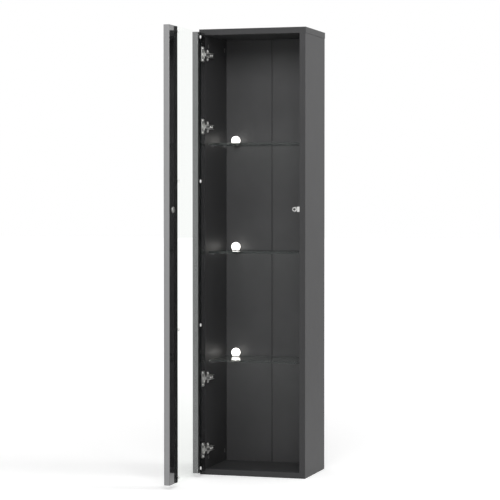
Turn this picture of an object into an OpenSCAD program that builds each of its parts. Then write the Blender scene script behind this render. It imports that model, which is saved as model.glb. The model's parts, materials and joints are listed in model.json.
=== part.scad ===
// Glass display showcase: a tall board carcass with three glass shelves, a glass door
// on four concealed hinges, a touch latch and three globe lights.
// Frame: millimetres, +Z up, -Y is the front, origin at the centre of the underside.
// The door is drawn open at its rest angle.

/* [Carcass] */
// Outside width of the carcass
carcass_w = 300; // [260:5:400]
// Outside depth of the carcass
carcass_d = 203; // [165:1:300]
// Outside height of the carcass
carcass_h = 1220; // [1000:10:1500]
// Thickness of the carcass boards
board_t = 16; // [15:0.5:20]
// Sideways overhang of the top board
top_overhang = 1; // [0:0.5:3]

/* [Back] */
// Thickness of the back boards
back_t = 5; // [3:0.5:6]
// Distance from the back edges to the rear face of the back boards
back_inset = 6; // [5:0.5:12]
// Depth of the groove that holds the back boards
groove_depth = 6; // [4:0.5:8]
// Width of the joining strip's flanges
strip_w = 4; // [4:1:16]
// Thickness of the joining strip's flanges and web
strip_t = 1.2; // [1:0.1:2]

/* [Shelves] */
// Thickness of the glass shelves
shelf_t = 5; // [4:0.5:8]
// Distance of the shelves behind the front edges
shelf_setback = 26; // [15:1:40]
// Gap between a shelf and the side boards
shelf_gap = 1; // [0.5:0.25:2]
// Gap between a shelf and the back boards
shelf_back_gap = 3; // [2:0.5:6]
// Diameter of a shelf peg
peg_d = 5; // [4:0.5:6]
// Distance of the pegs from the front and back edges of a shelf
peg_inset = 22; // [15:1:35]
// Thickness of the pad between a peg and the glass
pad_t = 1; // [0.5:0.25:1.5]

/* [Board joints] */
// Diameter of a cam lock
cam_d = 12; // [10:1:15]
// Depth of a cam lock
cam_depth = 12; // [10:0.5:12.5]
// Distance from a board's end to the cam's centre
cam_end = 29; // [24:1:34]
// Distance of the cams from the front and back edges
cam_edge = 29; // [26:1:40]
// Diameter of a wooden dowel
dowel_d = 8; // [6:1:8]
// Distance of the dowels from the front and back edges
dowel_edge = 60; // [50:1:70]

/* [Door] */
// Width that the carcass shows on each side of the closed door
side_reveal = 3; // [1:0.5:6]
// Height that the carcass shows above and below the door
end_reveal = 12; // [8:1:14]
// Gap between the closed stiles and the carcass edges
door_gap = 5.6; // [5.6:0.1:7]
// Width of a door stile
stile_w = 62; // [50:1:80]
// Thickness of a door stile
stile_t = 16; // [15:0.5:20]
// Radius of the stiles' long edges
stile_edge_r = 1; // [0.5:0.25:2]
// Thickness of the door glass
glass_t = 4; // [3:0.5:4]
// Width of glass that lies on a stile
glass_lap = 15; // [13:0.5:20]
// Distance of the glass from the door's ends
glass_end_gap = 0.5; // [0:0.25:2]
// Thickness of the glazing tape
tape_t = 0.6; // [0.4:0.1:0.6]
// Diameter of a glass screw's cap
cap_d = 9.5; // [8:0.5:11]
// Distance of the end glass screws from the door's ends
glass_screw_end = 14; // [12:1:40]

/* [Hinges] */
// Diameter of a hinge cup
cup_d = 26; // [26:1:28]
// Distance from the door's edge to the cup's centre
cup_edge = 16; // [15.5:0.5:17]
// Distance of the end hinges from the door's ends
hinge_end = 58; // [50:1:90]
// Distance of the inner hinges from the door's ends
hinge_inner = 254; // [180:1:300]
// Width of a hinge arm
arm_w = 12; // [10:0.5:13]
// Length of a hinge arm behind the front edges
arm_len = 46; // [42:1:55]
// Diameter of a hinge pin
pin_d = 3; // [2.5:0.1:3.5]

/* [Latch] */
// Height of the latch above the underside
latch_z = 729; // [640:1:880]
// Distance of the latch's axis from the side board
latch_off = 14.5; // [13.5:0.5:20]
// Diameter of the plunger
plunger_d = 6; // [5:0.5:7]
// Distance that the resting plunger stands in front of the carcass edges
plunger_reach = 3.8; // [3:0.1:3.8]
// Diameter of the strike plate
strike_d = 16; // [14:1:20]

/* [Lights] */
// Diameter of a globe
globe_d = 24.8; // [20:0.1:34]
// Distance of a globe's axis from the left board
globe_side = 36; // [26:1:60]
// Distance of a globe's axis from the back boards
globe_back = 27; // [20:1:60]

/* [Hidden] */
$fn = 48;
eps = 0.01;           // makes a cut pass the face it starts from
fit = 0.1;            // radial clearance of a screw, dowel or peg in its hole
pin_fit = 0.05;       // radial running clearance of a hinge pin
rest_angle = 90;      // door opening at rest, degrees

// Carcass
front_y = -carcass_d / 2;
back_y = carcass_d / 2;
inner_x = carcass_w / 2 - board_t;
inner_top = carcass_h - board_t;
inner_h = carcass_h - 2 * board_t;
back_face_y = back_y - back_inset - back_t;
groove_clear = 0.3;
board_colour = [0.27, 0.27, 0.28];
steel_colour = [0.75, 0.75, 0.76];
white_colour = [0.93, 0.93, 0.92];
glass_colour = [0.75, 0.85, 0.82, 0.4];

// Shelves
shelf_count = 3;
bay_h = (inner_h - shelf_count * shelf_t) / (shelf_count + 1);
shelf_w = 2 * (inner_x - shelf_gap);
shelf_front = front_y + shelf_setback;
shelf_back = back_face_y - strip_t - shelf_back_gap;
peg_depth = 8;
peg_collar = 1.5;
tongue_t = 3;
tongue_l = 11;
tongue_w = 8;
peg_ys = [shelf_front + peg_inset, shelf_back - peg_inset];
function shelf_z(i) = board_t + i * (bay_h + shelf_t) - shelf_t; // underside of shelf i, from 1

// Board joints
cam_ys = [front_y + cam_edge, back_y - cam_edge];
dowel_ys = [front_y + dowel_edge, back_y - dowel_edge];
bolt_d = 5;
bolt_head_d = 6.4;
bolt_head_l = 3;
bolt_bite = 11;       // length in the top or bottom board
dowel_bite = 12;
dowel_reach = 18;     // length in a side board's end

// Door, drawn closed and then swung to the rest angle
door_w = carcass_w - 2 * side_reveal;
door_z0 = end_reveal;
door_z1 = carcass_h - end_reveal;
door_edge_x = -door_w / 2;
stile_face_y = front_y - door_gap;
pivot_x = door_edge_x + cup_edge - 7.6;
pivot_y = stile_face_y - 6;
glass_w = door_w - 2 * (stile_w - glass_lap);
glass_z0 = door_z0 + glass_end_gap;
glass_h = door_z1 - door_z0 - 2 * glass_end_gap;
glass_face_y = stile_face_y + tape_t;
glass_screw_x = door_w / 2 - stile_w + glass_lap * 0.4;
glass_screw_d = 4;
glass_hole_d = 6;
cap_h = 2.6;
glass_screw_pitch = (door_z1 - door_z0 - 2 * glass_screw_end) / 3;
glass_screw_zs = [for (i = [0:3]) door_z0 + glass_screw_end + i * glass_screw_pitch];

// Hinges
hinge_zs = [door_z0 + hinge_end, door_z0 + hinge_inner,
            door_z1 - hinge_inner, door_z1 - hinge_end];
cup_x = door_edge_x + cup_edge;
cup_depth = 11.2;
cup_wall = 1.2;
flange_t = 1.2;
flange_l = 42;
flange_w = 19;
pin_len = 2 * sqrt(pow(cup_d / 2, 2) - pow(cup_x - pivot_x + pin_d / 2, 2)) - 0.2;
flange_shift = 4.5;   // the flange sits towards the glass from the cup's centre
cup_screw_off = 16;
cup_screw_x = cup_x + flange_shift + 2;
plate_t = 2;
boss_h = 3;
wing_l = 31;
wing_w = 10;
wing_y = front_y + 20;
plate_y0 = front_y + 9;
plate_len = 42;
plate_screw_off = 10.6;
arm_x = -inner_x + plate_t + boss_h;
arm_t = 2;
neck_w = arm_w - 4;   // the part of the arm that reaches into the cup
eye_d = 6;
cheek_t = 1.2;
cheek_h = 4;
arm_screw_ys = [front_y + 27, front_y + 40];
small_screw_d = 3.6;
head_d = 6.6;
head_h = 1.6;

// Latch
latch_x = inner_x - latch_off;
bracket_h = 14;
bracket_t = 7;
bracket_len = 40;
bracket_y0 = front_y + 1;
web_setback = 12;
ring_d = 12;
barrel_d = 9.4;
barrel_y0 = front_y + 1.5;
barrel_len = 40;
barrel_end_t = 2;
magnet_t = 3;
magnet_d = 5;
plunger_len = 34;
strike_t = 1.4;
strike_screw_d = 3;
latch_screw_zs = [latch_z];
latch_screw_ys = [front_y + 12, front_y + 32];

// Lights
globe_r = globe_d / 2;
globe_drop = 0.66 * globe_r;   // from the globe's centre to its flat
foot_h = 2;
foot_r = sqrt(globe_r * globe_r - globe_drop * globe_drop);
globe_x = -inner_x + globe_side;
globe_y = back_face_y - globe_back;

// ---------- helpers ----------

// A box given by its lowest and highest corners
module span(a, b) {
    translate(a) cube(b - a);
}

// A cylinder from a point along an axis: "x", "y" or "z"
module rod(p, d, l, axis = "z") {
    turn = axis == "x" ? [0, 90, 0] : axis == "y" ? [-90, 0, 0] : [0, 0, 0];
    translate(p) rotate(turn) cylinder(d = d, h = l);
}

// A flat rounded rectangle
module round_rect(w, h, r) {
    square([w - 2 * r, h], center = true);
    square([w, h - 2 * r], center = true);
    for (x = [-1, 1], y = [-1, 1])
        translate([x * (w / 2 - r), y * (h / 2 - r)]) circle(r);
}

// Swings what is drawn on the closed door to the rest angle
module on_door() {
    translate([pivot_x, pivot_y, 0]) rotate([0, 0, -rest_angle])
        translate([-pivot_x, -pivot_y, 0]) children();
}

// ---------- carcass ----------

// The groove that runs up a side board or along a top or bottom board
module back_groove(half_w, z0, z1) {
    span([-half_w, back_face_y - groove_clear / 2, z0],
         [half_w, back_face_y + back_t + groove_clear / 2, z1]);
}

// Holes in one end of a side board, for its cams, bolts and dowels.
// The end lies at z = end_z and the board runs towards dir.
module side_end_holes(side, end_z, dir) {
    mid_x = side * (inner_x + board_t / 2);
    for (y = cam_ys) {
        rod([side * inner_x + (side > 0 ? -eps : eps - cam_depth - 0.5), y, end_z + dir * cam_end],
            cam_d + 2 * fit, cam_depth + 0.5, "x");
        rod([mid_x, y, dir > 0 ? end_z - eps : end_z - cam_end],
            bolt_head_d + 2 * fit, cam_end + eps);
    }
    for (y = dowel_ys)
        rod([mid_x, y, dir > 0 ? end_z - eps : end_z - dowel_reach],
            dowel_d + 2 * fit, dowel_reach + eps);
}

module side_board(side) {
    color(board_colour) difference() {
        span([side > 0 ? inner_x : -carcass_w / 2, front_y, board_t],
             [side > 0 ? carcass_w / 2 : -inner_x, back_y, inner_top]);
        back_groove(inner_x + groove_depth, board_t - eps, inner_top + eps);
        side_end_holes(side, board_t, 1);
        side_end_holes(side, inner_top, -1);
        for (i = [1:shelf_count], y = peg_ys)
            rod([side > 0 ? inner_x - eps : -inner_x - peg_depth - 0.5, y, peg_z(i)],
                peg_d + 2 * fit, peg_depth + 0.5 + eps, "x");
        if (side < 0)
            for (z = hinge_zs, s = [-1, 1])
                rod([-inner_x - 11, wing_y, z + s * plate_screw_off],
                    small_screw_d + 2 * fit, 11 + eps, "x");
        if (side > 0)
            for (y = latch_screw_ys)
                rod([inner_x - eps, y, latch_z], small_screw_d + 2 * fit, 11 + eps, "x");
    }
}

// The bolt and dowel holes and the groove that a top or bottom board has in its inner face
module end_board_cuts(face_z, dir) {
    for (side = [-1, 1]) {
        mid_x = side * (inner_x + board_t / 2);
        for (y = cam_ys)
            rod([mid_x, y, dir > 0 ? face_z - eps : face_z - bolt_bite], bolt_d + 1 + 2 * fit,
                bolt_bite + eps);
        for (y = dowel_ys)
            rod([mid_x, y, dir > 0 ? face_z - eps : face_z - dowel_bite], dowel_d + 2 * fit,
                dowel_bite + eps);
    }
    back_groove(inner_x + groove_depth, face_z - (dir > 0 ? eps : groove_depth),
                face_z + (dir > 0 ? groove_depth : eps));
}

module top_board() {
    color(board_colour) difference() {
        span([-carcass_w / 2 - top_overhang, front_y, inner_top],
             [carcass_w / 2 + top_overhang, back_y, carcass_h]);
        end_board_cuts(inner_top, 1);
    }
}

module bottom_board() {
    color(board_colour) difference() {
        span([-carcass_w / 2, front_y, 0], [carcass_w / 2, back_y, board_t]);
        end_board_cuts(board_t, -1);
    }
}

// One of the two back boards: it reaches 0.5 mm short of each groove's floor
module back_board(side) {
    reach = groove_depth - 0.5;
    edge = inner_x + reach;
    color(board_colour * 0.8)
        span([side > 0 ? strip_t / 2 + fit : -edge, back_face_y, board_t - reach],
             [side > 0 ? edge : -strip_t / 2 - fit, back_face_y + back_t, inner_top + reach]);
}

// An H-shaped strip: the boards' inner edges slide into its two channels
module back_joining_strip() {
    z0 = board_t + 0.2;
    z1 = inner_top - 0.2;
    color([0.12, 0.12, 0.13]) union() {
        span([-strip_t / 2, back_face_y - strip_t, z0],
             [strip_t / 2, back_face_y + back_t + strip_t, z1]);
        for (y = [back_face_y - strip_t, back_face_y + back_t])
            span([-strip_w / 2, y, z0], [strip_w / 2, y + strip_t, z1]);
    }
}

// ---------- shelves ----------

// Height of the peg axes under shelf i
function peg_z(i) = shelf_z(i) - pad_t - tongue_t / 2;

module glass_shelf(i) {
    color(glass_colour)
        translate([0, (shelf_front + shelf_back) / 2, shelf_z(i)])
            linear_extrude(shelf_t) round_rect(shelf_w, shelf_back - shelf_front, 2);
}

// Four pegs: each has a shank in the side board, a collar and a flat tongue
module shelf_pegs(i) {
    color(steel_colour)
        for (side = [-1, 1], y = peg_ys)
            translate([side * inner_x, y, peg_z(i)]) mirror([side > 0 ? 1 : 0, 0, 0]) union() {
                rod([-peg_depth, 0, 0], peg_d, peg_depth + peg_collar, "x");
                difference() {
                    rod([0, 0, 0], tongue_w, peg_collar, "x");
                    span([-1, -tongue_w, tongue_t / 2], [peg_collar + 1, tongue_w, tongue_w]);
                }
                span([0, -tongue_w / 2, -tongue_t / 2], [tongue_l, tongue_w / 2, tongue_t / 2]);
            }
}

module shelf_pads() {
    color([0.15, 0.15, 0.15])
        for (i = [1:shelf_count], side = [-1, 1], y = peg_ys)
            rod([side * (inner_x - tongue_l + tongue_w / 2), y, shelf_z(i) - pad_t],
                tongue_w - 1, pad_t);
}

// ---------- board joints ----------

// A cam disc with a driver cross and a bore that takes the bolt's head
module cam_lock(side, y, z, dir) {
    translate([side * inner_x, y, z]) mirror([side > 0 ? 0 : 1, 0, 0]) difference() {
        rod([0, 0, 0], cam_d, cam_depth, "x");
        rod([board_t / 2, 0, dir > 0 ? -cam_d : -bolt_head_d / 2], bolt_head_d + 2 * fit,
            cam_d + bolt_head_d / 2);
        for (size = [[1.4, 7], [7, 1.4]])
            translate([1 - eps, 0, 0]) cube([2, size[0], size[1]], center = true);
    }
}

module cam_locks() {
    color(steel_colour)
        for (side = [-1, 1], y = cam_ys) {
            cam_lock(side, y, board_t + cam_end, 1);
            cam_lock(side, y, inner_top - cam_end, -1);
        }
}

// A bolt stands in the top or bottom board and its head reaches into the cam
module cam_bolt(x, y, face_z, dir) {
    translate([x, y, face_z]) mirror([0, 0, dir > 0 ? 0 : 1]) union() {
        rod([0, 0, -bolt_bite + 0.5], bolt_d + 1, bolt_bite - 0.5);
        rod([0, 0, -eps], bolt_d, cam_end - bolt_head_l + 2 * eps);
        rod([0, 0, cam_end - bolt_head_l], bolt_head_d, bolt_head_l);
    }
}

module cam_bolts() {
    color(steel_colour)
        for (side = [-1, 1], y = cam_ys) {
            cam_bolt(side * (inner_x + board_t / 2), y, board_t, 1);
            cam_bolt(side * (inner_x + board_t / 2), y, inner_top, -1);
        }
}

module dowels() {
    color([0.85, 0.7, 0.45])
        for (side = [-1, 1], y = dowel_ys) {
            x = side * (inner_x + board_t / 2);
            rod([x, y, board_t - dowel_bite + 0.5], dowel_d, dowel_bite + dowel_reach - 1);
            rod([x, y, inner_top - dowel_reach + 0.5], dowel_d, dowel_bite + dowel_reach - 1);
        }
}

// ---------- door ----------

// A stile with rounded long edges; its inner face lies at y = stile_face_y
module stile_blank(x_mid) {
    translate([x_mid, stile_face_y - stile_t / 2, door_z0])
        linear_extrude(door_z1 - door_z0) round_rect(stile_w, stile_t, stile_edge_r);
}

module glass_screw_holes(x) {
    for (z = glass_screw_zs)
        rod([x, stile_face_y - 11, z], glass_screw_d + 2 * fit, 12, "y");
}

module door_stile_hinge() {
    color(board_colour) on_door() difference() {
        stile_blank(door_edge_x + stile_w / 2);
        glass_screw_holes(-glass_screw_x);
        for (z = hinge_zs) {
            rod([cup_x, stile_face_y - cup_depth - 0.3, z], cup_d + 2 * fit, cup_depth + 1, "y");
            for (s = [-1, 1])
                rod([cup_screw_x, stile_face_y - 10, z + s * cup_screw_off],
                    small_screw_d + 2 * fit, 11, "y");
        }
    }
}

module door_stile_free() {
    color(board_colour) on_door() difference() {
        stile_blank(door_w / 2 - stile_w / 2);
        glass_screw_holes(glass_screw_x);
        rod([latch_x, stile_face_y - 9, latch_z], strike_screw_d + 2 * fit, 10, "y");
    }
}

module door_glass() {
    color(glass_colour) on_door() difference() {
        span([-glass_w / 2, glass_face_y, glass_z0],
             [glass_w / 2, glass_face_y + glass_t, glass_z0 + glass_h]);
        for (x = [-1, 1], z = glass_screw_zs)
            rod([x * glass_screw_x, glass_face_y - 1, z], glass_hole_d, glass_t + 2, "y");
    }
}

// Black foam tape between a stile and the glass
module glazing_tape(side) {
    x0 = side > 0 ? glass_w / 2 - glass_lap : -glass_w / 2;
    color([0.05, 0.05, 0.05]) on_door() difference() {
        span([x0, stile_face_y, glass_z0], [x0 + glass_lap, glass_face_y, glass_z0 + glass_h]);
        for (z = glass_screw_zs)
            rod([side * glass_screw_x, stile_face_y - 1, z], glass_hole_d, 3, "y");
    }
}

// A screw: shank from the tip to the head's seat, then a cylindrical head, along +y
module screw_y(x, z, tip_y, seat_y, d, hd, hh) {
    rod([x, tip_y, z], d, seat_y - tip_y, "y");
    rod([x, seat_y, z], hd, hh, "y");
}

module glass_screws() {
    color(steel_colour) on_door()
        for (x = [-1, 1], z = glass_screw_zs)
            screw_y(x * glass_screw_x, z, stile_face_y - 10.5, glass_face_y + glass_t,
                    glass_screw_d, glass_hole_d + 1, 1.2);
}

// Half the outline of a cap that fits over a glass screw's head
cap_seat_r = glass_hole_d / 2 + 0.5 + fit;
cap_seat_h = 1.2 + fit;
cap_outline = [
    [cap_seat_r, 0], [cap_d / 2, 0], [cap_d / 2, 0.4 * cap_h], [0.38 * cap_d, 0.8 * cap_h],
    [0.21 * cap_d, cap_h], [0, cap_h], [0, cap_seat_h], [cap_seat_r, cap_seat_h]
];

module glass_screw_caps() {
    color(white_colour) on_door()
        for (x = [-1, 1], z = glass_screw_zs)
            translate([x * glass_screw_x, glass_face_y + glass_t, z]) rotate([-90, 0, 0])
                rotate_extrude() polygon(cap_outline);
}

// ---------- hinges ----------

// The cup: a pressed bowl with a flange; the pin crosses it near the door's edge
module hinge_cup(z) {
    color(steel_colour) on_door() difference() {
        union() {
            rod([cup_x, stile_face_y - cup_depth, z], cup_d, cup_depth + flange_t, "y");
            translate([cup_x + flange_shift, stile_face_y + flange_t, z]) rotate([90, 0, 0])
                linear_extrude(flange_t) round_rect(flange_w, flange_l, 3);
        }
        rod([cup_x, stile_face_y - cup_depth + cup_wall, z], cup_d - 2 * cup_wall,
            cup_depth + flange_t, "y");
        rod([pivot_x, pivot_y, z - pin_len / 2], pin_d, pin_len);
        for (s = [-1, 1])
            rod([cup_screw_x, stile_face_y - 1, z + s * cup_screw_off],
                small_screw_d + 2 * fit, flange_t + 2, "y");
    }
}

// The pin crosses the cup at the pivot, with both ends in the cup's wall
module hinge_pin(z) {
    color(steel_colour * 0.8) on_door()
        rod([pivot_x, pivot_y, z - pin_len / 2], pin_d, pin_len);
}

// The fixed arm: an eye round the pin, a gooseneck and a channel on the plate
module hinge_arm(z) {
    leg_y1 = front_y + arm_len;
    color(steel_colour) translate([0, 0, z]) difference() {
        union() {
            rod([pivot_x, pivot_y, -neck_w / 2], eye_d, neck_w);
            span([pivot_x, pivot_y - arm_t / 2, -neck_w / 2],
                 [arm_x + arm_t, pivot_y + arm_t / 2, neck_w / 2]);
            span([arm_x, pivot_y - arm_t / 2, -neck_w / 2], [arm_x + arm_t, leg_y1, neck_w / 2]);
            span([arm_x, front_y + 4, -arm_w / 2], [arm_x + arm_t, leg_y1, arm_w / 2]);
            for (s = [-1, 1])
                translate([arm_x + arm_t - eps, front_y + 4, s * (arm_w - cheek_t) / 2 - cheek_t / 2])
                    cube([cheek_h, arm_len - 4, cheek_t]);
        }
        rod([pivot_x, pivot_y, -arm_w], pin_d + 2 * pin_fit, 2 * arm_w);
        for (y = arm_screw_ys)
            rod([arm_x - 1, y, 0], small_screw_d + 2 * fit, arm_t + 2, "x");
    }
}

// The mounting plate: two wings, a tail and a raised boss under the arm
module hinge_plate(z) {
    color(steel_colour * 0.95) translate([-inner_x, 0, z]) difference() {
        union() {
            translate([0, wing_y, 0]) rotate([0, 90, 0])
                linear_extrude(plate_t) round_rect(wing_l, wing_w, 3);
            translate([0, plate_y0 + plate_len / 2, 0]) rotate([0, 90, 0])
                linear_extrude(plate_t) round_rect(arm_w, plate_len, 2);
            span([0, plate_y0 + 2, -arm_w / 2 + 1], [plate_t + boss_h, plate_y0 + plate_len - 3,
                 arm_w / 2 - 1]);
        }
        for (s = [-1, 1])
            rod([-1, wing_y, s * plate_screw_off], small_screw_d + 2 * fit, plate_t + 2, "x");
        for (y = arm_screw_ys)
            rod([1, y, 0], small_screw_d + 2 * fit, plate_t + boss_h, "x");
    }
}

// Screws that hold the plates to the side board
module plate_screws() {
    color(steel_colour)
        for (z = hinge_zs, s = [-1, 1]) {
            rod([-inner_x - 10.5, wing_y, z + s * plate_screw_off], small_screw_d, 10.5 + plate_t, "x");
            rod([-inner_x + plate_t, wing_y, z + s * plate_screw_off], head_d, head_h, "x");
        }
}

// Screws that hold and adjust the arms on their plates
module arm_screws() {
    color(steel_colour)
        for (z = hinge_zs, y = arm_screw_ys) {
            rod([-inner_x + 1.5, y, z], small_screw_d, arm_x + arm_t + inner_x - 1.5, "x");
            difference() {
                rod([arm_x + arm_t, y, z], head_d, head_h + 0.4, "x");
                for (size = [[1, 4], [4, 1]])
                    translate([arm_x + arm_t + head_h + 0.4, y, z])
                        cube([1.6, size[0], size[1]], center = true);
            }
        }
}

// Screws that hold the cups in the stile
module cup_screws() {
    color(steel_colour) on_door()
        for (z = hinge_zs, s = [-1, 1])
            screw_y(cup_screw_x, z + s * cup_screw_off, stile_face_y - 9.5,
                    stile_face_y + flange_t, small_screw_d, head_d, head_h);
}

// ---------- latch ----------

// A base on the side board and a ring that holds the barrel, joined by a web
module latch_bracket() {
    y1 = bracket_y0 + bracket_len;
    color(white_colour) difference() {
        union() {
            span([inner_x - bracket_t, bracket_y0, latch_z - bracket_h / 2],
                 [inner_x, y1, latch_z + bracket_h / 2]);
            rod([latch_x, bracket_y0, latch_z], ring_d, bracket_len, "y");
            span([latch_x, bracket_y0 + web_setback, latch_z - 3], [inner_x - bracket_t + 1, y1, latch_z + 3]);
        }
        rod([latch_x, bracket_y0 - 1, latch_z], barrel_d + 2 * fit, bracket_len + 2, "y");
        for (y = latch_screw_ys) {
            rod([inner_x - bracket_t - 1, y, latch_z], small_screw_d + 2 * fit, bracket_t + 2, "x");
            rod([latch_x - ring_d, y, latch_z], head_d + 2 * fit, ring_d + latch_off - 3, "x");
        }
    }
}

module latch_barrel() {
    color(white_colour * 0.95) difference() {
        rod([latch_x, barrel_y0, latch_z], barrel_d, barrel_len, "y");
        rod([latch_x, barrel_y0 - 1, latch_z], plunger_d + 2 * fit,
            barrel_len - barrel_end_t + 1, "y");
    }
}

module latch_plunger() {
    color([0.2, 0.2, 0.2])
        rod([latch_x, front_y - plunger_reach + magnet_t, latch_z], plunger_d, plunger_len, "y");
}

module latch_magnet() {
    color([0.3, 0.3, 0.32])
        rod([latch_x, front_y - plunger_reach, latch_z], magnet_d, magnet_t, "y");
}

// Screws that hold the bracket to the side board
module latch_screws() {
    color(steel_colour)
        for (y = latch_screw_ys) {
            rod([inner_x - 3, y, latch_z], small_screw_d, 13.5, "x");
            rod([inner_x - 3 - head_h, y, latch_z], head_d, head_h, "x");
        }
}

module strike_plate() {
    color(steel_colour) on_door() difference() {
        rod([latch_x, stile_face_y, latch_z], strike_d, strike_t, "y");
        rod([latch_x, stile_face_y - 1, latch_z], strike_screw_d + 2 * fit, strike_t + 2, "y");
        rod([latch_x, stile_face_y + strike_t / 2, latch_z], 5.6 + 2 * fit, strike_t, "y");
    }
}

module strike_screw() {
    color([0.3, 0.3, 0.3]) on_door()
        screw_y(latch_x, latch_z, stile_face_y - 8.5, stile_face_y + strike_t / 2,
                strike_screw_d, 5.6, strike_t / 2);
}

// ---------- lights ----------

module globe_light(i) {
    color([1, 0.98, 0.94])
        translate([globe_x, globe_y, shelf_z(i) + shelf_t + foot_h + globe_drop])
            difference() {
                sphere(globe_r);
                translate([0, 0, -globe_drop - globe_r])
                    cube([3 * globe_r, 3 * globe_r, 2 * globe_r], center = true);
            }
}

module globe_foot(i) {
    color(white_colour)
        rod([globe_x, globe_y, shelf_z(i) + shelf_t], 2 * foot_r, foot_h);
}

// ---------- nodes ----------

side_board(-1);  // left_side_board
side_board(1);  // right_side_board
top_board();
bottom_board();
back_board(-1);  // back_board_left
back_board(1);  // back_board_right
back_joining_strip();
for (i = [1:shelf_count]) {
    glass_shelf(i);
    shelf_pegs(i);
    globe_light(i);
    globe_foot(i);
}
shelf_pads();
cam_locks();
cam_bolts();
dowels();
for (k = [0:3]) {
    hinge_plate(hinge_zs[k]);
    hinge_arm(hinge_zs[k]);
    hinge_cup(hinge_zs[k]);
    hinge_pin(hinge_zs[k]);
}
plate_screws();
arm_screws();
cup_screws();
door_stile_hinge();
door_stile_free();
door_glass();
glazing_tape(-1);  // glazing_tape_hinge
glazing_tape(1);  // glazing_tape_free
glass_screws();
glass_screw_caps();
latch_bracket();
latch_barrel();
latch_plunger();
latch_magnet();
latch_screws();
strike_plate();
strike_screw();
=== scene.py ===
import json
import math

import bmesh
import bpy
import numpy as np
from mathutils import Matrix, Vector

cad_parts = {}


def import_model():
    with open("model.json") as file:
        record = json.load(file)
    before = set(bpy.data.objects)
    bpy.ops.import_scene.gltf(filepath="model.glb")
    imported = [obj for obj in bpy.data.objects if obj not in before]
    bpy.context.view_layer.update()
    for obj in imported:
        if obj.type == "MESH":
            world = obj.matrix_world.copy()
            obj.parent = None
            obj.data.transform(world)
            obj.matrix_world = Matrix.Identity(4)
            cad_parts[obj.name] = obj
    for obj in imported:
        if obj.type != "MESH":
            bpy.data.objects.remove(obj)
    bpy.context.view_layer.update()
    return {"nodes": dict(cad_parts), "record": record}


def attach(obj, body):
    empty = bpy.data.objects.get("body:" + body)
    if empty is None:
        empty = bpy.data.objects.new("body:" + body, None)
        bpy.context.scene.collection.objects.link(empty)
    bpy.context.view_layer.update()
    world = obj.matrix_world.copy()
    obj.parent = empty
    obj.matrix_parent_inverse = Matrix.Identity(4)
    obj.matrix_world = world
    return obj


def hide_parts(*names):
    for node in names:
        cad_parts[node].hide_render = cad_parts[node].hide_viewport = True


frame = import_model()

MM = 0.001


# ---------- colours and nodes ----------

def rgb(hexa, alpha=1.0):
    """An sRGB hex colour as linear RGBA."""
    out = []
    for i in (1, 3, 5):
        c = int(hexa[i:i + 2], 16) / 255
        out.append(c / 12.92 if c <= 0.04045 else ((c + 0.055) / 1.055) ** 2.4)
    return (*out, alpha)


def add(tree, kind, settings=None, links=None):
    """Adds a node, sets attributes and unlinked inputs, and joins its linked inputs."""
    n = tree.nodes.new(kind)
    for key, value in (settings or {}).items():
        if key in n.inputs:
            n.inputs[key].default_value = value
        else:
            setattr(n, key, value)
    for key, source in (links or {}).items():
        if isinstance(source, bpy.types.NodeSocket):
            tree.links.new(source, n.inputs[key])
        else:
            n.inputs[key].default_value = source
    return n


def material(name):
    """A new node material: (material, tree, its principled shader, its output node)."""
    m = bpy.data.materials.new(name)
    m.use_nodes = True
    t = m.node_tree
    t.nodes.clear()
    out = add(t, "ShaderNodeOutputMaterial")
    bsdf = add(t, "ShaderNodeBsdfPrincipled")
    t.links.new(bsdf.outputs["BSDF"], out.inputs["Surface"])
    return m, t, bsdf, out


def coords(t):
    """The surface's own coordinates and normal."""
    return add(t, "ShaderNodeTexCoord")


def millimetres(t, scale=(1, 1, 1)):
    """Object coordinates in millimetres, stretched by scale."""
    c = coords(t)
    return add(t, "ShaderNodeMapping", {"Scale": tuple(1000 * s for s in scale)},
               {"Vector": c.outputs["Object"]}).outputs["Vector"]


def speckle(t, vector, period_mm, detail=4, rough=0.6):
    """Noise whose features are about period_mm wide."""
    return add(t, "ShaderNodeTexNoise", {"Scale": 1 / period_mm, "Detail": detail, "Roughness": rough},
               {"Vector": vector}).outputs["Fac"]


def ramp(t, fac, dark, light, low=0.3, high=0.7):
    """A colour between dark and light as fac goes from low to high."""
    n = add(t, "ShaderNodeValToRGB", links={"Fac": fac})
    e = n.color_ramp.elements
    e[0].position, e[0].color = low, dark
    e[1].position, e[1].color = high, light
    return n.outputs["Color"]


def spread(t, fac, low, high):
    """fac, from 0 to 1, mapped to low..high, which are values or sockets."""
    return add(t, "ShaderNodeMapRange", None, {"Value": fac, "To Min": low, "To Max": high}).outputs["Result"]


def bump(t, height, strength, distance_mm):
    """A normal roughened by height."""
    return add(t, "ShaderNodeBump", {"Strength": strength, "Distance": distance_mm * MM},
               {"Height": height}).outputs["Normal"]


def facing(t, axis):
    """1 where the object-space normal points along axis ("X", "Y" or "Z"), either way."""
    n = add(t, "ShaderNodeSeparateXYZ", links={0: coords(t).outputs["Normal"]}).outputs[axis]
    flat = add(t, "ShaderNodeMath", {"operation": "ABSOLUTE"}, {0: n}).outputs[0]
    cut = add(t, "ShaderNodeMath", {"operation": "GREATER_THAN"}, {0: flat, 1: 0.8})
    return cut.outputs[0]


def either(t, a, b):
    """1 where a or b is 1."""
    return add(t, "ShaderNodeMath", {"operation": "MAXIMUM"}, {0: a, 1: b}).outputs[0]


def mix_colour(t, fac, a, b):
    """Colour a where fac is 0 and b where it is 1."""
    n = add(t, "ShaderNodeMix", {"data_type": "RGBA"}, {"Factor": fac})
    for socket, v in (("A", a), ("B", b)):
        target = [s for s in n.inputs if s.name == socket and s.type == "RGBA"][0]
        if isinstance(v, tuple):
            target.default_value = v
        else:
            t.links.new(v, target)
    return [s for s in n.outputs if s.type == "RGBA"][0]


# ---------- materials ----------

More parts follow.
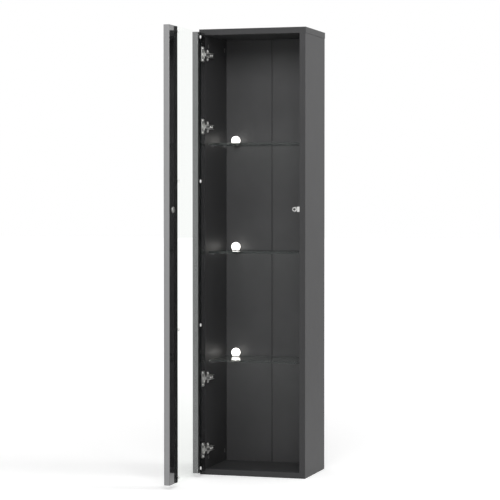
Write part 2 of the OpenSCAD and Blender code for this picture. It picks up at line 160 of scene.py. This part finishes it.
def charcoal_board():
    """Melamine-faced chipboard with a fine satin grain and hot-glued edge band."""
    m, t, b, out = material("charcoal_melamine_satin")
    v = millimetres(t)
    fine, cloud = speckle(t, v, 0.35, 3), speckle(t, v, 90, 2)
    tone = ramp(t, cloud, rgb("#353536"), rgb("#3a3a3b"))
    grain = ramp(t, fine, rgb("#333334"), rgb("#3d3d3e"))
    t.links.new(mix_colour(t, 0.5, tone, grain), b.inputs["Base Color"])
    t.links.new(spread(t, fine, 0.42, 0.55), b.inputs["Roughness"])
    b.inputs["Specular IOR Level"].default_value = 0.3
    t.links.new(bump(t, fine, 0.15, 0.05), b.inputs["Normal"])
    return m


def back_board():
    """Thin melamine-faced back board, a little flatter than the carcass boards."""
    m, t, b, out = material("back_board_melamine")
    v = millimetres(t)
    fine, cloud = speckle(t, v, 0.4, 3), speckle(t, v, 120, 2)
    t.links.new(ramp(t, cloud, rgb("#3a3a3b"), rgb("#414142")), b.inputs["Base Color"])
    t.links.new(spread(t, fine, 0.45, 0.6), b.inputs["Roughness"])
    t.links.new(bump(t, fine, 0.12, 0.05), b.inputs["Normal"])
    return m


def stile_board(name, dark, light):
    """Board with high-gloss black acrylic faces and a satin edge band between two greys."""
    m, t, b, out = material(name)
    band = facing(t, "Y")
    v = millimetres(t)
    fine = speckle(t, v, 0.4, 3)
    grey = ramp(t, fine, dark, light)
    t.links.new(mix_colour(t, band, rgb("#161617"), grey), b.inputs["Base Color"])
    t.links.new(spread(t, band, 0.05, 0.4), b.inputs["Roughness"])
    wave = speckle(t, v, 60, 1)
    t.links.new(bump(t, wave, 0.03, 0.3), b.inputs["Normal"])
    b.inputs["Coat Weight"].default_value = 0.7
    b.inputs["Coat Roughness"].default_value = 0.04
    return m


def gloss_stile():
    """The free stile, with a silver-grey edge band."""
    return stile_board("gloss_acrylic_silver_edge", rgb("#848485"), rgb("#8e8e8f"))


def gloss_stile_painted_shade():
    """The hinge stile: the free stile's edge band painted a deeper grey, which is painted shade for the hinge
    side's shading.
    """
    return stile_board("gloss_acrylic_painted_shade_edge", rgb("#666667"), rgb("#6f6f70"))


def clear_glass(name, tint, edge, edge_axes, edge_alpha, gleam):
    """Float glass: see-through faces, a coloured seam at the cut edges and light shadows.
    gleam is how much of the full reflection the faces keep, as with a coated pane."""
    m, t, b, out = material(name)
    b.inputs["Base Color"].default_value = tint
    b.inputs["Roughness"].default_value = 0.0
    b.inputs["IOR"].default_value = 1.5
    b.inputs["Transmission Weight"].default_value = 1.0
    v = millimetres(t)
    t.links.new(bump(t, speckle(t, v, 150, 1), 0.01, 0.2), b.inputs["Normal"])
    clear = add(t, "ShaderNodeBsdfTransparent", {"Color": rgb("#fefffe")})
    face = add(t, "ShaderNodeMixShader", links={0: gleam, 1: clear.outputs[0], 2: b.outputs[0]})
    seam = add(t, "ShaderNodeBsdfPrincipled", {"Base Color": edge, "Roughness": 0.12})
    cut = facing(t, edge_axes[0])
    for axis in edge_axes[1:]:
        cut = either(t, cut, facing(t, axis))
    share = add(t, "ShaderNodeMath", {"operation": "MULTIPLY"}, {0: cut, 1: edge_alpha}).outputs[0]
    body = add(t, "ShaderNodeMixShader", links={0: share, 1: face.outputs[0], 2: seam.outputs[0]})
    rays = add(t, "ShaderNodeLightPath")
    lit = add(t, "ShaderNodeMixShader",
              links={0: rays.outputs["Is Shadow Ray"], 1: body.outputs[0], 2: clear.outputs[0]})
    t.links.new(lit.outputs[0], out.inputs["Surface"])
    return m


def shelf_glass():
    """Clear float glass, 5 mm, with polished edges that look dark green."""
    return clear_glass("shelf_float_glass", rgb("#fafcfb"), rgb("#2b302f"), "XY", 0.75, 0.5)


def door_glass():
    """Low-iron tempered glass, 4 mm, whose edge shows the dark tape behind it."""
    return clear_glass("door_tempered_glass", rgb("#fdfefd"), rgb("#101213"), "Y", 0.9, 0.03)


def nickel(name, hexa, rough, brush=(1, 1, 1), period=0.6):
    """Plated steel with faint rubbing marks that follow brush."""
    m, t, b, out = material(name)
    marks = speckle(t, millimetres(t, brush), period, 4)
    tone = rgb(hexa)
    t.links.new(ramp(t, marks, tuple(0.85 * c for c in tone[:3]) + (1,), tone), b.inputs["Base Color"])
    b.inputs["Metallic"].default_value = 1.0
    t.links.new(spread(t, marks, rough * 0.75, rough * 1.25), b.inputs["Roughness"])
    t.links.new(bump(t, marks, 0.08, 0.03), b.inputs["Normal"])
    return m


def hinge_steel():
    """Pressed steel, bright nickel plated."""
    return nickel("hinge_pressed_nickel", "#e2e2e0", 0.38)


def pin_steel():
    """Ground steel pin, marks running round it."""
    return nickel("pin_ground_steel", "#a9a9aa", 0.25, (1, 1, 6))


def screw_steel():
    """Cold-headed steel screw, nickel plated."""
    return nickel("screw_headed_nickel", "#dededc", 0.34)


def peg_steel():
    """Turned shelf peg, nickel plated."""
    return nickel("peg_turned_nickel", "#c4c4c3", 0.24, (6, 1, 1))


def strike_steel():
    """Stamped strike plate, nickel plated."""
    return nickel("strike_stamped_nickel", "#e0e0de", 0.42)


def bolt_steel():
    """Turned cam bolt, zinc plated."""
    return nickel("bolt_turned_zinc", "#b5b6b8", 0.33, (1, 1, 6))


def cam_zinc():
    """Die-cast zinc cam with a grainy skin."""
    return nickel("cam_die_cast_zinc", "#b0b0b0", 0.4, period=0.9)


def magnet():
    """Sintered ferrite, dark and matte."""
    return nickel("magnet_sintered_ferrite", "#3a3a3c", 0.5)


def plastic(name, hexa, rough, grain_mm=0.5, depth=0.03):
    """Moulded plastic with a fine mould texture."""
    m, t, b, out = material(name)
    grain = speckle(t, millimetres(t), grain_mm, 3)
    tone = rgb(hexa)
    t.links.new(ramp(t, grain, tuple(0.94 * c for c in tone[:3]) + (1,), tone), b.inputs["Base Color"])
    t.links.new(spread(t, grain, rough * 0.85, rough * 1.15), b.inputs["Roughness"])
    t.links.new(bump(t, grain, 0.1, depth), b.inputs["Normal"])
    return m


def white_cap():
    """Glossy white moulded cap."""
    return plastic("cap_moulded_white", "#f0f0ee", 0.22)


def latch_plastic():
    """White moulded latch housing."""
    return plastic("latch_moulded_white", "#dededc", 0.3)


def plunger_plastic():
    """Black moulded plunger."""
    return plastic("plunger_moulded_black", "#222223", 0.4)


def foot_plastic():
    """White moulded lamp foot."""
    return plastic("foot_moulded_white", "#ececea", 0.3)


def black_strip():
    """Extruded charcoal plastic, marks running along its length."""
    return plastic("strip_extruded_charcoal", "#2c2c2d", 0.45, 0.8)


def pad_rubber():
    """Soft clear-grey elastomer pad."""
    return plastic("pad_elastomer", "#3a3a3a", 0.6)


def glazing_tape():
    """Black double-sided foam tape."""
    return plastic("tape_black_foam", "#0c0c0c", 0.7, 0.25, 0.08)


def beech_dowel():
    """Fluted beech dowel, raw."""
    m, t, b, out = material("dowel_raw_beech")
    fibre = speckle(t, millimetres(t, (6, 6, 1)), 2.5, 5)
    t.links.new(ramp(t, fibre, rgb("#a98458"), rgb("#d0b083")), b.inputs["Base Color"])
    t.links.new(spread(t, fibre, 0.55, 0.75), b.inputs["Roughness"])
    t.links.new(bump(t, fibre, 0.3, 0.1), b.inputs["Normal"])
    return m


def globe_plastic():
    """Opal diffuser with a lamp behind it, evenly lit."""
    m, t, b, out = material("globe_opal_lit")
    haze = speckle(t, millimetres(t), 6, 2)
    t.links.new(ramp(t, haze, rgb("#f7f4ec"), rgb("#ffffff")), b.inputs["Base Color"])
    b.inputs["Roughness"].default_value = 0.2
    b.inputs["Emission Color"].default_value = rgb("#fffdf7")
    b.inputs["Emission Strength"].default_value = 3.0
    return m


MAKERS = [
    charcoal_board, back_board, gloss_stile, gloss_stile_painted_shade, shelf_glass, door_glass, hinge_steel, pin_steel,
    screw_steel, peg_steel, strike_steel, bolt_steel, cam_zinc, magnet, white_cap, latch_plastic,
    plunger_plastic, foot_plastic, black_strip, pad_rubber, glazing_tape, beech_dowel, globe_plastic,
]
FINISH = {maker.__name__: maker() for maker in MAKERS}
SLOT_OF = {s["node"]: s["material_slot"] for s in frame["record"]["subparts"]}


def dress(obj, slot):
    """Gives an object one finish."""
    obj.data.materials.clear()
    obj.data.materials.append(FINISH[slot])


# ---------- CAD nodes ----------

EASED = {"charcoal_board": 0.8, "gloss_stile": 0.3, "shelf_glass": 0.4, "door_glass": 0.4,
         "hinge_steel": 0.25, "latch_plastic": 0.4, "strike_steel": 0.2, "foot_plastic": 0.4}


def ease_edges(obj, radius_mm):
    """Rounds an object's sharp edges."""
    weld = obj.modifiers.new("weld", "WELD")
    weld.merge_threshold = 0.00001
    bev = obj.modifiers.new("eased_edges", "BEVEL")
    bev.width = radius_mm * MM
    bev.segments = 2
    bev.limit_method = "ANGLE"
    bev.angle_limit = math.radians(50)
    bev.harden_normals = True


for node, obj in frame["nodes"].items():
    slot = SLOT_OF[node]
    dress(obj, slot)
    if slot in EASED:
        ease_edges(obj, EASED[slot])
# The hinge stile takes the darker copy of the stile finish, with painted shade on its edge band.
dress(frame["nodes"]["door_stile_hinge"], "gloss_stile_painted_shade")


# ---------- screws and caps, laid out by a node tree ----------

def solids_of(node):
    """The (low, high) corners of each separate solid of a CAD node."""
    mesh = frame["nodes"][node].data
    work = bmesh.new()
    work.from_mesh(mesh)
    bmesh.ops.remove_doubles(work, verts=work.verts, dist=0.00001)
    work.verts.ensure_lookup_table()
    seen, out = set(), []
    for v in work.verts:
        if v.index in seen:
            continue
        stack, island = [v], []
        seen.add(v.index)
        while stack:
            w = stack.pop()
            island.append(w.co.copy())
            for e in w.link_edges:
                o = e.other_vert(w)
                if o.index not in seen:
                    seen.add(o.index)
                    stack.append(o)
        a = np.array(island)
        out.append((a.min(0), a.max(0)))
    work.free()
    return out


def revolve(profile, steps):
    """A closed mesh turned about Z from (radius, height) points that start and end on the axis."""
    work = bmesh.new()
    rings = []
    for r, z in profile:
        if r < 1e-9:
            rings.append([work.verts.new((0, 0, z))])
        else:
            turn = [2 * math.pi * i / steps for i in range(steps)]
            rings.append([work.verts.new((r * math.cos(a), r * math.sin(a), z)) for a in turn])
    for a, b in zip(rings, rings[1:]):
        for i in range(steps):
            j = (i + 1) % steps
            corner = [a[i % len(a)], a[j % len(a)], b[j % len(b)], b[i % len(b)]]
            face = list(dict.fromkeys(corner))
            if len(face) > 2:
                work.faces.new(face)
    bmesh.ops.recalc_face_normals(work, faces=work.faces)
    return work


def to_object(work, name):
    """A scene object made from a bmesh, which is freed."""
    mesh = bpy.data.meshes.new(name)
    work.to_mesh(mesh)
    work.free()
    obj = bpy.data.objects.new(name, mesh)
    bpy.context.scene.collection.objects.link(obj)
    return obj


def cross_cutter(size, depth, top):
    """A tapered cross that a driver presses into a head."""
    work = bmesh.new()
    for turn in (0, 90):
        spin = Matrix.Rotation(math.radians(turn), 4, "Z")
        corners = []
        for z, k in ((top - depth, 0.45), (top + 0.0003, 1.1)):
            for x, y in ((-1, -1), (1, -1), (1, 1), (-1, 1)):
                arm = Vector((x * size * k / 2, y * size * 0.13 * (0.6 + 0.4 * k), z))
                corners.append(work.verts.new(spin @ arm))
        low, high = corners[:4], corners[4:]
        work.faces.new(low[::-1])
        work.faces.new(high)
        for i in range(4):
            work.faces.new((low[i], low[(i + 1) % 4], high[(i + 1) % 4], high[i]))
    bmesh.ops.recalc_face_normals(work, faces=work.faces)
    return to_object(work, "cross_cutter")


def screw_template(head_r, head_h, shank_r, shank_l, kind):
    """A screw that points along +Z with its seat at z = 0. kind is "pan" or "flat"."""
    profile = [(0, -shank_l), (shank_r * 0.55, -shank_l + shank_r)]
    pitch = 0.0011
    turns = int((shank_l - shank_r) / pitch) - 1
    z = -shank_l + shank_r
    for _ in range(turns):
        profile += [(shank_r, z + pitch * 0.35), (shank_r * 0.82, z + pitch * 0.6)]
        z += pitch
    profile += [(shank_r * 0.82, -0.0001)]
    if kind == "pan":
        for a in (0, 10, 28, 46, 64, 80):
            rad = math.radians(a)
            profile.append((head_r * (0.72 + 0.28 * math.cos(rad)), head_h * (0.25 + 0.75 * math.sin(rad))))
        profile.insert(-6, (head_r, 0.0))
        profile.append((0, head_h))
    else:
        profile += [(head_r * 0.97, 0.0), (head_r, head_h * 0.3), (head_r * 0.96, head_h * 0.85),
                    (head_r * 0.88, head_h), (0, head_h)]
    body = to_object(revolve(profile, 32), "screw_template")
    cutter = cross_cutter(head_r * 1.15, head_h * 0.75, head_h)
    cut = body.modifiers.new("recess", "BOOLEAN")
    cut.operation, cut.object, cut.solver = "DIFFERENCE", cutter, "EXACT"
    cut.use_self = True
    bpy.context.view_layer.update()
    graph = bpy.context.evaluated_depsgraph_get()
    made = bpy.data.meshes.new_from_object(body.evaluated_get(graph))
    body.modifiers.clear()
    body.data = made
    bpy.data.objects.remove(cutter)
    made.shade_smooth()
    made.set_sharp_from_angle(angle=math.radians(35))
    return body


def cap_template(radius, height, seat_r, seat_h):
    """A hollow domed cap that points along +Z with its rim at z = 0."""
    profile = [(0, seat_h), (seat_r, seat_h), (seat_r, 0), (radius * 0.97, 0)]
    for a in range(0, 90, 9):
        rad = math.radians(a)
        profile.append((radius * math.cos(rad), height * (0.2 + 0.8 * math.sin(rad))))
    profile.append((0, height))
    body = to_object(revolve(profile, 48), "cap_template")
    body.data.shade_smooth()
    body.data.set_sharp_from_angle(angle=math.radians(35))
    return body


def layout_tree():
    """A node tree that sets one piece on each point, each turned by its own angle."""
    tree = bpy.data.node_groups.new("lay_out_pieces", "GeometryNodeTree")
    face = tree.interface
    face.new_socket("Points", in_out="INPUT", socket_type="NodeSocketGeometry")
    for name, kind in (("Piece", "NodeSocketObject"), ("Finish", "NodeSocketMaterial"),
                       ("Direction", "NodeSocketVector"), ("Seed", "NodeSocketInt")):
        face.new_socket(name, in_out="INPUT", socket_type=kind)
    face.new_socket("Pieces", in_out="OUTPUT", socket_type="NodeSocketGeometry")
    start = add(tree, "NodeGroupInput")
    info = add(tree, "GeometryNodeObjectInfo", links={"Object": start.outputs["Piece"]})
    angle = add(tree, "FunctionNodeRandomValue", {"data_type": "FLOAT"}, {"Seed": start.outputs["Seed"]})
    [s for s in angle.inputs if s.name == "Max" and s.type == "VALUE"][0].default_value = math.pi
    value = [s for s in angle.outputs if s.type == "VALUE" and s.enabled][0]
    spin = add(tree, "ShaderNodeCombineXYZ", links={"Z": value})
    aim = add(tree, "FunctionNodeAlignRotationToVector", {"axis": "Z"}, {"Vector": start.outputs["Direction"]})
    turn = add(tree, "FunctionNodeRotateRotation", {"rotation_space": "LOCAL"},
               {"Rotation": aim.outputs[0], "Rotate By": spin.outputs[0]})
    place = add(tree, "GeometryNodeInstanceOnPoints",
                links={"Points": start.outputs["Points"], "Instance": info.outputs["Geometry"],
                       "Rotation": turn.outputs[0]})
    real = add(tree, "GeometryNodeRealizeInstances", links={"Geometry": place.outputs[0]})
    coat = add(tree, "GeometryNodeSetMaterial",
               links={"Geometry": real.outputs[0], "Material": start.outputs["Finish"]})
    end = add(tree, "NodeGroupOutput")
    tree.links.new(coat.outputs[0], end.inputs[0])
    return tree


LAYOUT = layout_tree()


def seats_of(node, way, head_h):
    """Where each solid of a node has its head's seat, and the heads' radius."""
    axis = max(range(3), key=lambda i: abs(way[i]))
    points, radius = [], 0
    for low, high in solids_of(node):
        low, high = Vector(low), Vector(high)
        seat = (low + high) / 2
        seat[axis] = high[axis] - head_h if way[axis] > 0 else low[axis] + head_h
        points.append(seat)
        radius = max((high - low)[i] for i in range(3) if i != axis) / 2
    return points, radius


def lay_out(name, node, body, piece, points, way, slot, seed):
    """Sets a copy of piece on each point, heads along way, in place of a CAD node."""
    work = bmesh.new()
    for p in points:
        work.verts.new(p)
    obj = to_object(work, name)
    mod = obj.modifiers.new("layout", "NODES")
    mod.node_group = LAYOUT
    ids = {i.name: i.identifier for i in LAYOUT.interface.items_tree if i.in_out == "INPUT"}
    mod[ids["Piece"]] = piece
    mod[ids["Finish"]] = FINISH[slot]
    mod[ids["Direction"]] = tuple(way)
    mod[ids["Seed"]] = seed
    obj.update_tag()
    bpy.context.view_layer.update()
    graph = bpy.context.evaluated_depsgraph_get()
    mesh = bpy.data.meshes.new_from_object(obj.evaluated_get(graph))
    obj.modifiers.clear()
    obj.data = mesh
    dress(obj, slot)
    bpy.data.objects.remove(piece)
    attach(obj, body)
    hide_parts(node)


def screws(name, node, body, way, head_h, kind, shank_l, seed):
    """Modelled screws in place of a node's plain ones. way is where the heads point."""
    way = Vector(way)
    points, radius = seats_of(node, way, head_h)
    radius -= 0.02 * MM
    piece = screw_template(radius, head_h - 0.02 * MM, radius * 0.5, shank_l, kind)
    lay_out(name, node, body, piece, points, way, "screw_steel", seed)


def screw_caps():
    """Domed caps over the glass screws' heads."""
    way = Vector((1, 0, 0))
    points, radius = seats_of("glass_screw_caps", way, 2.6 * MM)
    piece = cap_template(radius - 0.02 * MM, 2.58 * MM, 3.6 * MM, 1.3 * MM)
    lay_out("glass_screw_cap_set", "glass_screw_caps", "door", piece, points, way, "white_cap", 11)


screws("hinge_plate_screw_set", "plate_screws", "carcass", (1, 0, 0), 1.6 * MM, "pan", 11.5 * MM, 3)
screws("hinge_cup_screw_set", "cup_screws", "door", (1, 0, 0), 1.6 * MM, "pan", 9.8 * MM, 5)
screws("hinge_arm_screw_set", "arm_screws", "carcass", (1, 0, 0), 2.0 * MM, "flat", 4.9 * MM, 7)
screws("latch_screw_set", "latch_screws", "carcass", (-1, 0, 0), 1.6 * MM, "flat", 12.5 * MM, 9)
screw_caps()


# ---------- floor, light and camera ----------

def floor():
    """A pale studio floor, white far off and plain near the showcase, where its shadow lies."""
    work = bmesh.new()
    bmesh.ops.create_grid(work, x_segments=1, y_segments=1, size=30)
    obj = to_object(work, "studio_floor")
    m, t, b, out = material("floor_pale_paint")
    b.inputs["Base Color"].default_value = rgb("#f4f4f4")
    b.inputs["Roughness"].default_value = 0.9
    b.inputs["Emission Color"].default_value = rgb("#ffffff")
    rays = add(t, "ShaderNodeLightPath")
    seen = either(t, rays.outputs["Is Camera Ray"], rays.outputs["Is Transmission Ray"])
    place = add(t, "ShaderNodeNewGeometry").outputs["Position"]
    away = add(t, "ShaderNodeVectorMath", {"operation": "LENGTH"}, {0: place}).outputs["Value"]
    far = add(t, "ShaderNodeMapRange", {"From Min": 0.6, "From Max": 3.0}, {"Value": away}).outputs["Result"]
    t.links.new(spread(t, seen, 0.2, spread(t, far, 0.38, 0.62)), b.inputs["Emission Strength"])
    obj.data.materials.append(m)


def world():
    """White as seen directly or in glossy surfaces and glass, grey as a source of light."""
    w = bpy.data.worlds.new("studio")
    bpy.context.scene.world = w
    w.use_nodes = True
    t = w.node_tree
    t.nodes.clear()
    rays = add(t, "ShaderNodeLightPath")
    seen = either(t, rays.outputs["Is Camera Ray"], rays.outputs["Is Glossy Ray"])
    seen = either(t, seen, rays.outputs["Is Transmission Ray"])
    level = spread(t, seen, 0.45, 1.0)
    back = add(t, "ShaderNodeBackground", {"Color": rgb("#ffffff")}, {"Strength": level})
    out = add(t, "ShaderNodeOutputWorld")
    t.links.new(back.outputs[0], out.inputs["Surface"])


def lamp(name, place, aim, size, power):
    """A soft rectangular lamp at place that faces aim."""
    data = bpy.data.lights.new(name, "AREA")
    data.shape = "RECTANGLE"
    data.size, data.size_y = size
    data.energy = power
    obj = bpy.data.objects.new(name, data)
    bpy.context.scene.collection.objects.link(obj)
    obj.location = place
    obj.rotation_euler = (Vector(aim) - Vector(place)).to_track_quat("-Z", "Y").to_euler()
    obj.visible_camera = False


def camera():
    """A long lens to the right of the front, tilted slightly down."""
    data = bpy.data.cameras.new("camera")
    data.sensor_width = 36
    data.lens = 137.2
    obj = bpy.data.objects.new("camera", data)
    obj.location = (1.514, -5.0535, 0.757)
    obj.rotation_euler = (math.radians(88.465), 0, math.radians(17.06))
    bpy.context.scene.collection.objects.link(obj)
    bpy.context.scene.camera = obj


floor()
world()
lamp("right_softbox", (3.2, 0.3, 2.1), (0.15, 0, 0.7), (1.6, 2.0), 34)
lamp("front_softbox", (0.5, -2.2, 2.05), (0, 0, 1.15), (1.4, 1.0), 31)
camera()
bpy.context.scene.view_settings.view_transform = "Standard"
